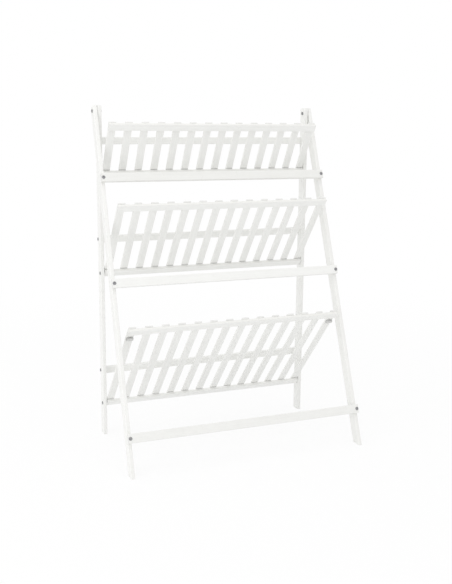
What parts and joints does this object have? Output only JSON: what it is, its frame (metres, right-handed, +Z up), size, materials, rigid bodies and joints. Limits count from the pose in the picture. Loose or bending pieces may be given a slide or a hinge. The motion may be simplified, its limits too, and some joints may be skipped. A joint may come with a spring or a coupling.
{
  "type": "folding shelf",
  "caption": "Folding free-standing shelf of white-painted bamboo: upright rear frame, swing-out front legs and slatted shelves hinged between the rear posts.",
  "frame": {"origin": "on the floor, in the middle of the space that the open shelf takes up", "axes": "+X to the right, +Y to the back, +Z up"},
  "size_m": [0.715, 0.399, 0.9903],
  "materials": {
    "painted_uprights": "satin white paint on bamboo",
    "painted_rails": "satin white paint on bamboo",
    "painted_slats": "satin white paint on bamboo",
    "painted_battens": "satin white paint on bamboo",
    "bolt_steel": "zinc-plated, dull",
    "insert_brass": "turned",
    "white_nylon": "moulded",
    "brad_steel": "painted over white",
    "pad_rubber": "matt"
  },
  "bodies": {
    "rear_frame": {"left_rear_post": "painted_uprights", "right_rear_post": "painted_uprights", "upper_back_rail": "painted_rails", "upper_back_rail_bolts": "bolt_steel", "upper_back_rail_inserts": "insert_brass", "middle_back_rail": "painted_rails", "middle_back_rail_bolts": "bolt_steel", "middle_back_rail_inserts": "insert_brass", "lower_back_rail": "painted_rails", "lower_back_rail_bolts": "bolt_steel", "lower_back_rail_inserts": "insert_brass", "pivot_bolts": "bolt_steel", "pivot_spacers": "white_nylon", "pivot_nuts": "bolt_steel"},
    "front_frame": {"left_front_leg": "painted_uprights", "right_front_leg": "painted_uprights", "upper_front_rail": "painted_rails", "upper_front_rail_bolts": "bolt_steel", "upper_front_rail_inserts": "insert_brass", "middle_front_rail": "painted_rails", "middle_front_rail_bolts": "bolt_steel", "middle_front_rail_inserts": "insert_brass", "lower_front_rail": "painted_rails", "lower_front_rail_bolts": "bolt_steel", "lower_front_rail_inserts": "insert_brass"},
    "top_shelf": {"top_shelf_slats": "painted_slats", "top_shelf_brads": "brad_steel", "top_shelf_front_batten": "painted_battens", "top_shelf_rear_batten": "painted_battens", "top_shelf_hinge_bolts": "bolt_steel", "top_shelf_hinge_inserts": "insert_brass", "top_shelf_washers": "white_nylon"},
    "middle_shelf": {"middle_shelf_slats": "painted_slats", "middle_shelf_brads": "brad_steel", "middle_shelf_front_batten": "painted_battens", "middle_shelf_rear_batten": "painted_battens", "middle_shelf_hinge_bolts": "bolt_steel", "middle_shelf_hinge_inserts": "insert_brass", "middle_shelf_washers": "white_nylon"},
    "bottom_shelf": {"bottom_shelf_slats": "painted_slats", "bottom_shelf_brads": "brad_steel", "bottom_shelf_front_batten": "painted_battens", "bottom_shelf_rear_batten": "painted_battens", "bottom_shelf_hinge_bolts": "bolt_steel", "bottom_shelf_hinge_inserts": "insert_brass", "bottom_shelf_washers": "white_nylon", "bottom_shelf_rest_pads": "pad_rubber"}
  },
  "joints": [
    {"name": "leg_fold", "type": "hinge", "parent": "rear_frame", "child": "front_frame", "pos_m": [0, 0.18126, 0.97347], "axis": [1, 0, 0], "range_deg": [0, 20]},
    {"name": "top_shelf_hinge", "type": "hinge", "parent": "rear_frame", "child": "top_shelf", "pos_m": [0, 0.17326, 0.79285], "axis": [-1, 0, 0], "range_deg": [-56.6, 29.7]},
    {"name": "middle_shelf_hinge", "type": "hinge", "parent": "rear_frame", "child": "middle_shelf", "pos_m": [0, 0.17326, 0.50142], "axis": [-1, 0, 0], "range_deg": [-48.8, 37.5]},
    {"name": "bottom_shelf_hinge", "type": "hinge", "parent": "rear_frame", "child": "bottom_shelf", "pos_m": [0, 0.17326, 0.099], "axis": [-1, 0, 0], "range_deg": [-44.4, 41.9]}
  ]
}
